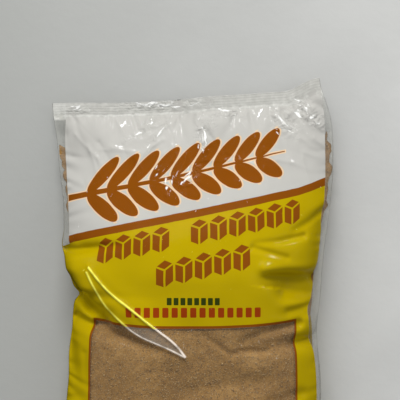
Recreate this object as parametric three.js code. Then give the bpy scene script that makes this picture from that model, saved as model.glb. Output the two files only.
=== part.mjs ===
// A two-pound pouch of light brown sugar, lying on its back with its printed front up.
// It is one pillow of film: a crimped seal at the head and at the foot, a full belly of sugar,
// and a slack, nearly empty head that lies down in soft waves. The solid has its outer form.
// Lengths are in millimetres. X runs across the pouch, Y from foot to head, Z up off the floor.
// A place across the pouch is also given from -1 at the left rim to 1 at the right rim.
import * as THREE from 'three';
import { mergeVertices } from 'three/addons/utils/BufferGeometryUtils.js';

// The pouch as a whole
const FILM_WIDTH = 166; // the film tube laid flat
const FOOT_Y = -120; // cut edge of the foot seal at its corners
const HEAD_Y = 107; // cut edge of the head seal at its left corner
const FULL_DEPTH = 52; // floor to crown where the sugar is deepest
const FILM_EDGE = 1; // two films and the air between them, at a seal

// The foot seal's cut edge is bowed, because the swelling belly draws its middle up
const FOOT_BOW = 5;
const FOOT_BOW_END_Y = -63; // the bow is gone from here up

// The head seal's cut edge climbs to the right and ends in a loose, upstanding corner
const HEAD_RISE = 7.5;
const HEAD_RISE_FROM = -0.7;
const EAR_RISE = 7;
const EAR_FROM = 0.7;
const EAR_TO = 1;
const HEAD_CLIMB_FROM_Y = 21; // the climb begins to show from here up
const HEAD_LEAN = 0.8; // the slack head leans to the left by this much
const HEAD_LEAN_FROM_Y = 58;

// How the sugar fills it
const FOOT_SEAL_Y = -111; // inner edge of the foot seal
const HEAD_SEAL_Y = 100; // inner edge of the head seal
const FOOT_ROUND = 48; // length over which the foot swells to full depth
const FOOT_ROOT = 0.9; // how steeply the films part at the foot seal
const BELLY_END_Y = 4; // the depth falls away from here up
const HEAD_FALL_POWER = 1.65; // how long the belly holds its depth on the way up
const DRAW_IN = 9.6; // what each side is drawn in by at full depth
const DRAW_POWER = 1.3; // and how quickly that grows with the depth
const RIM_SHARE = 0.4; // height of the side rims, as a share of the depth
const FLAT_SHARE = 0.6; // share of the width that lies flat on the floor
const BACK_POWER = 1.3; // how softly the back leaves the floor towards the rims
const CROWN_POWER = 2.7; // how square the belly is across
const CROWN_ROOT = 0.62; // how steeply its front falls to the side rims
const CORNER_ROOT = 1.15; // the same beside a seal, where the corners are empty
const EMPTYING_SHARE = 0.6; // the corners begin to empty below this share of the full depth

// How the loose ends lie: both curl up off the floor, and the head is wavy
const FOOT_LIFT = 7;
const FOOT_CURL_FROM_Y = -84;
const HEAD_LIFT = 8;
const HEAD_CURL_FROM_Y = 60;
const WAVES_FROM_Y = 72;
const WAVES = [
  { height: 2.2, halfTurns: 2.4, start: 0.6 },
  { height: 1.1, halfTurns: 4.3, start: 0 },
];

// Notches in the side outline, where the folds below run out. One with a depth below zero swells out.
const NOTCHES = [
  { side: -1, y: -11, spread: 21, depth: 5.9 }, // pinch below the left lobe
  { side: -1, y: 24, spread: 7, depth: -2 }, // lip of the tuck above it
  { side: -1, y: -50, spread: 12, depth: 1.3 }, // hollow in the left flank
  { side: -1, y: 52, spread: 14, depth: 0.9 },
  { side: -1, y: 86, spread: 16, depth: 1.7 }, // below the left corner
  { side: 1, y: -26, spread: 18, depth: 2.4 }, // right pinch
  { side: 1, y: 58, spread: 36, depth: -3.4 }, // slack right rim
  { side: 1, y: 122, spread: 20, depth: 8.6 }, // the loose corner narrows to its tip
];

// Folds in the front: each runs from one point to another, and is a valley where its depth is above zero
// and a ridge where it is below. It fades towards its second point by the share given.
const FOLDS = [
  { from: [-78, 22], to: [-36, 25], depth: 5, spread: 3.6, fade: 1 }, // tuck above the left lobe
  { from: [-66, 16], to: [-8, -33], depth: -4.5, spread: 8, fade: 0.7 }, // the left lobe's long ridge
  { from: [-74, 0], to: [-48, -15], depth: 7, spread: 4.2, fade: 0.5 }, // pinch below the lobe
  { from: [-66, -17], to: [-22, -31], depth: 4.5, spread: 4.5, fade: 0.9 }, // crease under the pinch
  { from: [76, 8], to: [40, 9], depth: 6.5, spread: 5.5, fade: 0.8 }, // dent in the right flank
  { from: [74, -11], to: [50, -13], depth: 4, spread: 4, fade: 0.8 }, // upper right pinch
  { from: [74, -29], to: [24, -31], depth: 5, spread: 4.5, fade: 0.85 }, // lower right pinch
  { from: [80, 42], to: [50, 28], depth: 3, spread: 5, fade: 0.8 }, // pull line from the right rim
  { from: [-70, -36], to: [-66, -60], depth: 3, spread: 5, fade: 0.6 }, // hollow in the left flank
];
const FOLD_NEEDS_DEPTH = 14; // a fold is shallower where the pouch is thinner than this
const FOLD_NEEDS_HEIGHT = 10; // and where its front is nearer than this to the rims

// The mesh
const COLUMNS = 40;
const ROWS = 54;
const EDGE_CROWDING = 1.35; // draws the columns towards the rims
const MERGE_DISTANCE = 1e-4;

const SUGAR_POUCH = { color: 0xc9b015, roughness: 0.35, metalness: 0 };

const clamp01 = (value) => Math.min(1, Math.max(0, value));

function smoothstep(low, high, value) {
  const share = clamp01((value - low) / (high - low));
  return share * share * (3 - 2 * share);
}

function bell(distance, spread) {
  return Math.exp(-((distance / spread) ** 2));
}

// Height of a row of the film, before the bow of the foot and the climb of the head shift it.
function shiftedRow(across, row) {
  const bow = FOOT_BOW * (1 - across ** 2) * (1 - smoothstep(FOOT_Y, FOOT_BOW_END_Y, row));
  const rise = HEAD_RISE * smoothstep(HEAD_RISE_FROM, 1, across);
  const ear = EAR_RISE * smoothstep(EAR_FROM, EAR_TO, across);
  return row + bow + (rise + ear) * smoothstep(HEAD_CLIMB_FROM_Y, HEAD_Y, row);
}

// Depth of the sugar under the pouch's middle line.
function depthAt(row) {
  const up = clamp01((row - FOOT_SEAL_Y) / FOOT_ROUND);
  const swell = Math.pow(1 - (1 - up) ** 2, FOOT_ROOT);
  const along = clamp01((row - BELLY_END_Y) / (HEAD_SEAL_Y - BELLY_END_Y));
  return FULL_DEPTH * swell * (1 - Math.pow(along, HEAD_FALL_POWER));
}

// Half of the pouch's width on one side: the flat film, drawn in where the sugar spreads it.
function halfWidth(side, y, depth) {
  const notches = NOTCHES.filter((notch) => notch.side === side);
  const nicked = notches.reduce((sum, notch) => sum + notch.depth * bell(y - notch.y, notch.spread), 0);
  return FILM_WIDTH / 2 - DRAW_IN * Math.pow(depth / FULL_DEPTH, DRAW_POWER) - nicked;
}

function distanceToFold(x, y, { from, to }) {
  const [runX, runY] = [to[0] - from[0], to[1] - from[1]];
  const along = clamp01(((x - from[0]) * runX + (y - from[1]) * runY) / (runX ** 2 + runY ** 2));
  return { along, away: Math.hypot(x - from[0] - along * runX, y - from[1] - along * runY) };
}

function foldDepth(x, y) {
  return FOLDS.reduce((sum, fold) => {
    const { along, away } = distanceToFold(x, y, fold);
    return sum + fold.depth * (1 - fold.fade * along) * bell(away, fold.spread);
  }, 0);
}

// How high both films lie off the floor.
function liftAt(across, row) {
  const foot = FOOT_LIFT * (1 - smoothstep(FOOT_SEAL_Y, FOOT_CURL_FROM_Y, row));
  const head = HEAD_LIFT * smoothstep(HEAD_CURL_FROM_Y, HEAD_SEAL_Y, row);
  const wave = WAVES.reduce(
    (sum, { height, halfTurns, start }) => sum + height * Math.sin(Math.PI * halfTurns * across + start),
    0,
  );
  return foot + head + wave * smoothstep(WAVES_FROM_Y, HEAD_SEAL_Y, row);
}

// The point of the front film (face 1) or back film (face 0) at a place across and a row up the pouch.
function pouchPoint(across, row, face, target) {
  const y = shiftedRow(across, row);
  const depth = depthAt(row);
  const reach = Math.abs(across);
  const lean = HEAD_LEAN * smoothstep(HEAD_LEAN_FROM_Y, HEAD_Y, row);
  const x = across * halfWidth(across < 0 ? -1 : 1, y, depth) - lean;
  const rim = RIM_SHARE * depth;
  const lift = liftAt(across, row);
  if (face === 0) {
    return target.set(x, y, lift + rim * Math.pow(smoothstep(FLAT_SHARE, 1, reach), BACK_POWER));
  }
  const emptiness = 1 - clamp01(depth / (EMPTYING_SHARE * FULL_DEPTH));
  const root = CROWN_ROOT + (CORNER_ROOT - CROWN_ROOT) * emptiness;
  const crown = Math.pow(1 - Math.pow(reach, CROWN_POWER), root);
  const room = clamp01(depth / FOLD_NEEDS_DEPTH) * clamp01((depth * crown) / FOLD_NEEDS_HEIGHT);
  return target.set(x, y, lift + FILM_EDGE + rim + (depth - rim) * crown - foldDepth(x, y) * room);
}

// A block of columns and rows, whose two broad faces are bent into the front and the back film.
function pouchGeometry() {
  const block = new THREE.BoxGeometry(2, HEAD_Y - FOOT_Y, 1, COLUMNS, ROWS, 1);
  block.translate(0, (HEAD_Y + FOOT_Y) / 2, 0);
  block.deleteAttribute('normal');
  block.deleteAttribute('uv');
  const shaped = mergeVertices(block, MERGE_DISTANCE);
  const position = shaped.getAttribute('position');
  const point = new THREE.Vector3();
  for (let i = 0; i < position.count; i += 1) {
    const flat = position.getX(i);
    const across = Math.sign(flat) * (1 - Math.pow(1 - Math.abs(flat), EDGE_CROWDING));
    const face = position.getZ(i) > 0 ? 1 : 0;
    pouchPoint(across, position.getY(i), face, point);
    position.setXYZ(i, point.x, point.y, point.z);
  }
  return shaped;
}

// The origin is under the middle of the pouch, on the floor that it lies on.
function standOnFloor(geometry) {
  geometry.computeBoundingBox();
  const { min, max } = geometry.boundingBox;
  geometry.translate(-(min.x + max.x) / 2, -(min.y + max.y) / 2, -min.z);
  geometry.computeVertexNormals();
  return geometry;
}

const pouch = new THREE.Mesh(standOnFloor(pouchGeometry()), new THREE.MeshStandardMaterial(SUGAR_POUCH));
pouch.name = 'pouch';

const sugarPouch = new THREE.Group();
sugarPouch.add(pouch);

export default sugarPouch;
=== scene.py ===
"""A pouch of light brown sugar lying on its back: its printed film, the sugar in it and loose crystals.

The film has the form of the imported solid, with the creases of thin stiff film added. Sizes are in
millimetres, and turn into metres where a mesh, a lamp or the camera is made. A place on the pouch is given
by "across", from -1 at the left rim to 1 at the right rim, and by "row", its height up the pouch before the
bow of the foot and the climb of the head shift it. The print is laid out on the flat film.
"""
import logging
import math
from abc import ABC, abstractmethod
from dataclasses import dataclass, field
from enum import Enum
from functools import cached_property
from typing import Any, Iterable, Sequence

import bpy
import numpy as np
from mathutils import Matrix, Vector
from numpy.typing import NDArray


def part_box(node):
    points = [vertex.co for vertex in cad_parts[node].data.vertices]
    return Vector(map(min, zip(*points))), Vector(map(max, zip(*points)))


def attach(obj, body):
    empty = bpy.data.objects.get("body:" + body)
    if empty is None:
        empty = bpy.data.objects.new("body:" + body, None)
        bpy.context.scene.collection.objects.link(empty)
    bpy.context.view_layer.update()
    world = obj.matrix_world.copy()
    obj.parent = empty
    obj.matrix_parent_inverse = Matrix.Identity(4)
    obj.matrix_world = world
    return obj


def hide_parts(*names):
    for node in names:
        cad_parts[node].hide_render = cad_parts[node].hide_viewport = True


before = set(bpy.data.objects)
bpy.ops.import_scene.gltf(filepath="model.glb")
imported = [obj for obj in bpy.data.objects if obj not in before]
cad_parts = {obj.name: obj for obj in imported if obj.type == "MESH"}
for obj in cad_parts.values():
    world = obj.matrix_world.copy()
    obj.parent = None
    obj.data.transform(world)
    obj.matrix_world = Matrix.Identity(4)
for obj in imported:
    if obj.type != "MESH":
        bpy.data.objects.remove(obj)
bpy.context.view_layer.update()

Grid = NDArray[np.float64]
Point = tuple[float, float]
Colour = tuple[float, float, float]
Number = float | int

LOG = logging.getLogger("sugar_pouch")
MM = 0.001
BODY = "root"
NODE = "pouch"
FAR = 99.0  # stands for any distance that is too far to matter
PUCKER_LIPS = 1.3  # how strongly the lips beside a pucker are raised
PHOTO_MIDDLE = (3.7, 50.0)  # the point of the pouch that the middle of the picture looks at
SCATTER_INPUTS = ("Density", "Smallest", "Largest", "Seed")


class Face(Enum):
    """The two films of the pouch, and the number that marks each in the film's attribute."""

    BACK = -1.0
    FRONT = 1.0


class Slot(Enum):
    """Names of the film and the sugar."""

    FILM = "film"
    SUGAR = "sugar"


class Profile(Enum):
    """Section of a crease in the film."""

    ROUND = "a soft valley"
    PUCKER = "a valley between two raised lips"
    CREST = "a valley, or a ridge, with a sharp bottom"


def smoothstep(low: float, high: float, value: Any) -> Any:
    """Eases from 0 at low to 1 at high.

    Args:
        low: Value at which the step begins.
        high: Value at which it ends.
        value: A number or an array.

    Returns:
        The eased share, of the same form as value.
    """
    share = np.clip((value - low) / (high - low), 0.0, 1.0)
    return share * share * (3 - 2 * share)


def bell(distance: Any, spread: Any) -> Any:
    """Returns a bell curve of distance, 1 at 0 and 1/e at spread."""
    return np.exp(-((distance / spread) ** 2))


@dataclass(frozen=True)
class Noise:
    """Smooth random waviness over a plane, the same on every run.

    Attributes:
        size: Width of one bump in millimetres.
        seed: Seed of its random values.
        cells: How many random values it has each way before it repeats.
    """

    size: float
    seed: int
    cells: int = 128

    def at(self, x: Grid, y: Grid) -> Grid:
        """Samples the noise.

        Args:
            x: First coordinate in millimetres.
            y: Second coordinate in millimetres.

        Returns:
            Values of about -1 to 1.
        """
        lattice = np.random.default_rng(self.seed).uniform(-1.0, 1.0, (self.cells, self.cells))
        column, line = np.floor(x / self.size).astype(int), np.floor(y / self.size).astype(int)
        right, up = smoothstep(0, 1, x / self.size - column), smoothstep(0, 1, y / self.size - line)
        low, high = (
            lattice[above % self.cells, column % self.cells] * (1 - right)
            + lattice[above % self.cells, (column + 1) % self.cells] * right
            for above in (line, line + 1)
        )
        return low * (1 - up) + high * up


@dataclass(frozen=True)
class Wave:
    """One wave of the slack head, across the pouch."""

    height: float
    half_turns: float
    start: float


@dataclass(frozen=True)
class Notch:
    """A place where a rim is drawn in, or swells out where depth is below zero."""

    side: int
    y: float
    spread: float
    depth: float


@dataclass(frozen=True)
class Crease:
    """A fold in the film along a line of points: a valley, or a ridge where depth is below zero.

    Attributes:
        points: The x and y of each point.
        depth: Its depth at the first point.
        spread: Half of its width there.
        fade: Share of the depth that is gone at the last point.
        widen: How much wider it is at the last point than at the first, as a share.
        skew: How much wider it is on the left of its run than on the right, as a share.
        profile: Its section.
    """

    points: tuple[Point, ...]
    depth: float
    spread: float
    fade: float = 0.0
    widen: float = 0.0
    skew: float = 0.0
    profile: Profile = Profile.ROUND

    def nearest(self, x: Grid, y: Grid) -> tuple[Grid, Grid, Grid]:
        """Finds the nearest place on the line.

        Args:
            x: Coordinates across the pouch.
            y: Coordinates up it.

        Returns:
            The distance to it, its share of the line's length, and 1 or -1 for the line's left or right.
        """
        steps = [math.dist(a, b) for a, b in zip(self.points, self.points[1:])]
        away, along, side = np.full_like(x, np.inf), np.zeros_like(x), np.ones_like(x)
        passed = 0.0
        for (ax, ay), (bx, by), step in zip(self.points, self.points[1:], steps):
            run_x, run_y = bx - ax, by - ay
            share = np.clip(((x - ax) * run_x + (y - ay) * run_y) / step**2, 0.0, 1.0)
            here = np.hypot(x - ax - share * run_x, y - ay - share * run_y)
            nearer = here < away
            away = np.where(nearer, here, away)
            along = np.where(nearer, (passed + share * step) / sum(steps), along)
            side = np.where(nearer, np.sign((y - ay) * run_x - (x - ax) * run_y), side)
            passed += step
        return away, along, side

    def signed(self, x: Grid, y: Grid, reach: float) -> Grid:
        """Measures the distance to the line, with its side.

        Args:
            x: Coordinates across the pouch.
            y: Coordinates up it.
            reach: Distance up to which it is measured.

        Returns:
            The distance, below zero on the right of the line, and FAR past reach or past its ends.
        """
        away, along, side = self.nearest(x, y)
        beside = (away < reach) & (along > 0) & (along < 1)
        return np.where(beside, away, FAR) * np.where(side < 0, -1.0, 1.0)

    def at(self, x: Grid, y: Grid) -> Grid:
        """Works out how far the film is pressed in.

        Args:
            x: Coordinates across the pouch.
            y: Coordinates up it.

        Returns:
            The depth in millimetres, below zero on a ridge.
        """
        away, along, side = self.nearest(x, y)
        spread = self.spread * (1 + self.widen * along) * (1 + self.skew * side)
        depth = self.depth * (1 - self.fade * along)
        if self.profile is Profile.CREST:
            return depth * np.exp(-away / spread)
        lips = PUCKER_LIPS * (away / spread) ** 2 if self.profile is Profile.PUCKER else 0.0
        return depth * (1 - lips) * bell(away, spread)


@dataclass(frozen=True)
class Patch:
    """A patch of crumpled film.

    Attributes:
        middle: The x and y of its middle.
        half: Half of its length, and half of its width.
        turn: Degrees from the x axis to its length.
        share: How strongly it is crumpled.
    """

    middle: Point
    half: Point
    turn: float = 0.0
    share: float = 1.0

    def turned(self, x: Grid, y: Grid) -> tuple[Grid, Grid]:
        """Measures how far each place is from the middle.

        Args:
            x: Coordinates across the pouch.
            y: Coordinates up it.

        Returns:
            The distances along the patch and across it.
        """
        cos, sin = math.cos(math.radians(self.turn)), math.sin(math.radians(self.turn))
        dx, dy = x - self.middle[0], y - self.middle[1]
        return dx * cos + dy * sin, dy * cos - dx * sin

    def at(self, x: Grid, y: Grid) -> Grid:
        """Returns how crumpled the film is at each x and y."""
        along, beside = self.turned(x, y)
        return self.share * bell(np.hypot(along / self.half[0], beside / self.half[1]), 1.0)


def rounded(points: tuple[Point, ...], times: int = 2, cut: float = 0.25) -> tuple[Point, ...]:
    """Cuts the corners of a line of points, so that it bends softly.

    Args:
        points: The x and y of each point.
        times: How often the corners are cut.
        cut: How much of each stretch is cut off at either end, as a share.

    Returns:
        The points of the softer line, with the same two ends.
    """
    for _ in range(times):
        softer = [points[0]]
        for start, end in zip(points, points[1:]):
            for share in (cut, 1 - cut):
                softer.append(tuple((1 - share) * a + share * b for a, b in zip(start, end)))
        points = (*softer, points[-1])
    return points


def within(outline: Sequence[Point], x: Grid, y: Grid) -> Grid:
    """Finds what lies inside a closed outline.

    Args:
        outline: The x and y of its points.
        x: Coordinates across the pouch.
        y: Coordinates up it.

    Returns:
        1 inside the outline and 0 outside it.
    """
    inside = np.zeros(x.shape, dtype=bool)
    for (ax, ay), (bx, by) in zip(outline, (*outline[1:], outline[0])):
        if ay != by:
            crosses = ((ay > y) != (by > y)) & (x < (bx - ax) * (y - ay) / (by - ay) + ax)
            inside = inside ^ crosses
    return inside.astype(float)


def pressed_in(creases: Iterable[Crease], x: Grid, y: Grid) -> Grid:
    """Returns the summed depth of the creases at each x and y."""
    return sum((crease.at(x, y) for crease in creases), np.zeros_like(x))


@dataclass(frozen=True)
class PouchForm:
    """Outer form of the filled pouch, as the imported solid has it, with a sharper pinch in its left rim.

    The fields are the named values of the solid's source. Two are the scene's own: film_edge, the gap
    between the films at a seal, and samples, the columns and rows that the form's reach is read from.
    """

    film_width: float = 166.0
    foot_y: float = -120.0
    head_y: float = 107.0
    full_depth: float = 52.0
    film_edge: float = 0.4
    foot_bow: float = 5.0
    foot_bow_end_y: float = -63.0
    head_rise: float = 7.5
    head_rise_from: float = -0.7
    ear_rise: float = 7.0
    ear_from: float = 0.7
    head_climb_from_y: float = 21.0
    head_lean: float = 0.8
    head_lean_from_y: float = 58.0
    foot_seal_y: float = -111.0
    head_seal_y: float = 100.0
    foot_round: float = 48.0
    foot_root: float = 0.9
    belly_end_y: float = 4.0
    head_fall_power: float = 1.65
    draw_in: float = 9.6
    draw_power: float = 1.3
    rim_share: float = 0.4
    flat_share: float = 0.6
    back_power: float = 1.3
    crown_power: float = 2.7
    crown_root: float = 0.62
    corner_root: float = 1.15
    emptying_share: float = 0.6
    foot_lift: float = 7.0
    foot_curl_from_y: float = -84.0
    head_lift: float = 8.0
    head_curl_from_y: float = 60.0
    waves_from_y: float = 72.0
    fold_needs_depth: float = 14.0
    fold_needs_height: float = 10.0
    samples: tuple[int, int] = (161, 228)
    waves: tuple[Wave, ...] = (Wave(2.2, 2.4, 0.6), Wave(1.1, 4.3, 0.0))
    notches: tuple[Notch, ...] = (
        Notch(-1, -11, 21, 5.9),
        Notch(-1, -3.6, 3, 3),
        Notch(-1, -14, 10, -1.8),
        Notch(-1, 12, 6, -1.6),
        Notch(-1, 24, 7, -2),
        Notch(-1, -50, 12, 1.3),
        Notch(-1, 52, 14, 0.9),
        Notch(-1, 86, 16, 1.7),
        Notch(1, -26, 18, 2.4),
        Notch(1, 58, 36, -3.4),
        Notch(1, 122, 20, 8.6),
    )
    folds: tuple[Crease, ...] = (
        Crease(((-78, 22), (-36, 25)), 5, 3.6, 1),
        Crease(((-66, 16), (-8, -33)), -4.5, 8, 0.7),
        Crease(((-74, 0), (-48, -15)), 7, 4.2, 0.5),
        Crease(((-66, -17), (-22, -31)), 4.5, 4.5, 0.9),
        Crease(((76, 8), (40, 9)), 6.5, 5.5, 0.8),
        Crease(((74, -11), (50, -13)), 4, 4, 0.8),
        Crease(((74, -29), (24, -31)), 5, 4.5, 0.85),
        Crease(((80, 42), (50, 28)), 3, 5, 0.8),
        Crease(((-70, -36), (-66, -60)), 3, 5, 0.6),
    )


@dataclass
class Lay:
    """A grid of places on the pouch, which works out the form that the pouch has there.

    Attributes:
        form: The pouch's form.
        across: Places across the pouch.
        row: Rows up it.
    """

    form: PouchForm
    across: Grid
    row: Grid

    @classmethod
    def even(cls, form: PouchForm) -> "Lay":
        """Lays an even grid over the whole pouch.

        Args:
            form: The pouch's form.

        Returns:
            The grid.
        """
        columns, rows = form.samples
        across, row = np.linspace(-1, 1, columns), np.linspace(form.foot_y, form.head_y, rows)
        return cls(form, *np.meshgrid(across, row))

    @cached_property
    def depth(self) -> Grid:
        """Works out how deep the pouch is.

        Returns:
            Depth of the sugar under the middle line.
        """
        form = self.form
        up = np.clip((self.row - form.foot_seal_y) / form.foot_round, 0.0, 1.0)
        along = np.clip((self.row - form.belly_end_y) / (form.head_seal_y - form.belly_end_y), 0.0, 1.0)
        return form.full_depth * (1 - (1 - up) ** 2) ** form.foot_root * (1 - along**form.head_fall_power)

    @cached_property
    def y(self) -> Grid:
        """Works out where the rows lie.

        Returns:
            Heights up the pouch, with the bow of the foot and the climb of the head.
        """
        form, across, row = self.form, self.across, self.row
        bow = form.foot_bow * (1 - across**2) * (1 - smoothstep(form.foot_y, form.foot_bow_end_y, row))
        rise = form.head_rise * smoothstep(form.head_rise_from, 1, across)
        ear = form.ear_rise * smoothstep(form.ear_from, 1, across)
        return row + bow + (rise + ear) * smoothstep(form.head_climb_from_y, form.head_y, row)

    @cached_property
    def x(self) -> Grid:
        """Works out how wide the pouch is, where the sugar and the notches draw the rims in.

        Returns:
            Distances from the middle line, below zero on the left.
        """
        form = self.form
        half = form.film_width / 2 - form.draw_in * (self.depth / form.full_depth) ** form.draw_power
        for notch in form.notches:
            here = (self.across < 0) == (notch.side < 0)
            half = half - np.where(here, notch.depth * bell(self.y - notch.y, notch.spread), 0.0)
        return self.across * half - form.head_lean * smoothstep(form.head_lean_from_y, form.head_y, self.row)

    @cached_property
    def lift(self) -> Grid:
        """Works out the curls of both ends and the waves of the head.

        Returns:
            How high both films lie off the floor.
        """
        form, row = self.form, self.row
        foot = form.foot_lift * (1 - smoothstep(form.foot_seal_y, form.foot_curl_from_y, row))
        head = form.head_lift * smoothstep(form.head_curl_from_y, form.head_seal_y, row)
        wave = sum(
            part.height * np.sin(np.pi * part.half_turns * self.across + part.start) for part in form.waves
        )
        return foot + head + wave * smoothstep(form.waves_from_y, form.head_seal_y, row)

    @cached_property
    def rim(self) -> Grid:
        """Height of the rim beside each place."""
        return self.lift + self.form.rim_share * self.depth

    @cached_property
    def back(self) -> Grid:
        """Height of the back film."""
        curl = smoothstep(self.form.flat_share, 1, np.abs(self.across)) ** self.form.back_power
        return self.lift + self.form.rim_share * self.depth * curl

    @cached_property
    def front(self) -> Grid:
        """Works out the front film, with its main folds.

        Returns:
            Its height.
        """
        form, depth = self.form, self.depth
        emptiness = 1 - np.clip(depth / (form.emptying_share * form.full_depth), 0.0, 1.0)
        root = form.crown_root + (form.corner_root - form.crown_root) * emptiness
        section = np.clip(1 - np.abs(self.across) ** form.crown_power, 0.0, 1.0) ** root
        room = np.clip(depth / form.fold_needs_depth, 0.0, 1.0)
        room = room * np.clip(depth * section / form.fold_needs_height, 0.0, 1.0)
        crown = (1 - form.rim_share) * depth * section
        return form.film_edge + self.rim + crown - pressed_in(form.folds, self.x, self.y) * room

    def shift_into(self, box: tuple[Sequence[float], Sequence[float]]) -> Vector:
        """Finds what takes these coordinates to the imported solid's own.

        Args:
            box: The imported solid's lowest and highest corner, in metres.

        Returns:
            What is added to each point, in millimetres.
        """
        low, high = (np.array(corner) / MM for corner in box)
        x, y = ((grid.min() + grid.max()) / 2 for grid in (self.x, self.y))
        middle = (low + high) / 2
        return Vector((middle[0] - x, middle[1] - y, low[2] - self.back.min()))


VALLEYS = (
    Crease(((-54, -19.5), (-46, -23), (-36, -27), (-26, -30.5), (-10, -33.5)), 4.2, 2.8, 0.9),
    Crease(((59, -19), (38, -23), (26, -28)), 3.6, 2.8, 0.75),
    Crease(((41, -33.5), (26, -33), (21, -35), (16, -31.5), (6, -24.5)), 1.6, 1.6, 0.5),
    Crease(((38, -50.5), (17, -51), (0, -55)), 1.9, 5.5, 0.3),
    Crease(((60, -58), (42, -61.5)), 1.5, 3.5, 0.6),
    Crease(((-76, 21.5), (-64, 22), (-42, 25)), 3.2, 1.9, 0.8),
    Crease(((-71, 6), (-65, -3), (-58, -11), (-48, -19)), 6.0, 2.7, 0.45),
    Crease(((-67, -15.5), (-56, -20.5)), 1.8, 2.0, 0.3),
    Crease(((-69, -28), (-68, -46)), 1.5, 3.0, 0.3),
    Crease(((-61, -36), (-60, -52)), 0.8, 1.8, 0.6),
    Crease(((77, 46), (66, 38), (57, 33)), 2.8, 2.0, 0.75),
    Crease(((62, 29.8), (48, 27), (34, 26)), 2.1, 1.8, 0.7),
    Crease(((33, 23.5), (52, 18)), 1.6, 1.8, 0.3),
    Crease(((42, 8.4), (53.5, 7.6), (74, 6.4)), 2.6, 2.0, 0.0, 0.5, -0.35),
    Crease(((40, 12), (54, 11.6), (72, 11)), -3.8, 3.8, 0.2),
    Crease(((52, 0), (61, -1.5), (72, -3)), 10.0, 7.5, 0.0, 0.0, 0.33),
    Crease(((75, 30), (74, 10)), 6.5, 7.0),
    Crease(((75, -7), (64, -10), (53, -12)), 3.4, 2.2, 0.5),
    Crease(((70, -28), (55, -30.5)), 2.6, 1.9, 0.5),
)
SWELLS = (
    Crease(((-67, 9), (-54, -4), (-43, -13)), -2.4, 5.5, 0.3),
    Crease(((-64, -2), (-69, 7), (-74, 17)), -6.5, 6.0, 0.7),
    Crease(((-54, -29.5), (-34, -30.5)), -0.4, 3.0, 0.5),
    Crease(((54, -29), (33, -30.2)), -0.5, 3.0, 0.5),
)
RIDGES = (
    Crease(((-9, 106), (-21, 94), (-31, 90)), -0.74, 1.2, 0.5),
    Crease(((-6, 103), (-13, 95), (-26, 86), (-38, 82)), -0.56, 1.3, 0.7),
    Crease(((-16, 86), (-26, 78.7), (-33, 71)), -0.68, 1.1, 0.6),
    Crease(((-9, 82), (-19, 74.4), (-23, 66)), -0.56, 1.1, 0.6),
    Crease(((2.2, 100), (4.9, 88), (8.2, 74)), -0.74, 1.2, 0.3),
    Crease(((9.5, 98), (11.5, 90)), -0.56, 1.1, 0.3),
    Crease(((-20.5, 70), (-13, 59), (-15.5, 49)), -0.68, 1.2, 0.4),
    Crease(((-12, 71), (-9.5, 61.4), (-14.5, 53.5)), -0.68, 1.1, 0.4),
    Crease(((-4, 74), (-8, 63), (-5, 52)), -0.56, 1.1, 0.5),
    Crease(((48, 98.5), (52.7, 94.4), (58, 89.5)), -0.68, 1.1, 0.3),
    Crease(((54, 101), (64, 102.8)), -0.62, 1.1, 0.3),
    Crease(((57, 109), (64, 107.5), (68, 103.6), (70.5, 99)), -0.68, 1.2, 0.2),
    Crease(((60, 102), (68, 98), (76, 91)), -0.74, 1.2, 0.3),
    Crease(((62, 104.5), (73, 95)), -0.62, 1.0, 0.3),
    Crease(((17, 104), (30, 100)), -0.62, 1.1, 0.3),
    Crease(((10, 103), (15, 99.5)), -0.56, 1.1, 0.3),
    Crease(((22, 73), (40, 67.5)), -0.43, 1.4, 0.6),
    Crease(((61, 85), (76, 79)), -0.5, 1.5, 0.6),
)
PATCHES = (
    Patch((-18, 106.5), (25, 4.0), 4, 1.3),
    Patch((-26, 95), (6, 3.2), 65, 0.9),
    Patch((-19, 91), (17, 2.2), 57, 0.8),
    Patch((-33, 88), (13, 2.0), 30, 0.5),
    Patch((5.5, 86), (11, 3.6), 100, 1.2),
    Patch((11, 95), (4, 2.6), 90),
    Patch((20, 101), (10, 2.8), -5, 1.2),
    Patch((53, 93.5), (9, 5), -45, 1.2),
    Patch((63, 103), (10, 6), -35, 1.25),
    Patch((71, 97), (8, 4.5), -30, 1.1),
    Patch((-20, 66), (6, 4), 60, 0.8),
    Patch((-13, 60), (8, 5), 80, 0.9),
    Patch((-2, 64), (10, 4.5), 60, 0.9),
    Patch((-68, 103), (8, 3), 0, 1.1),
)
BLISTER = (
    Crease(
        rounded(((-58.5, 13), (-52, 5), (-45.5, -1.8), (-34, -9.8), (-22.5, -19), (-10, -28), (-4, -36))),
        -1.1, 1.25,
    ),
    Crease(
        rounded((
            (-59.5, 10.5), (-56, 3), (-49.3, -8.5), (-39.8, -17), (-31, -24.3), (-15, -30.5), (-4, -36),
        )),
        -1.0, 1.2,
    ),
)


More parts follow.
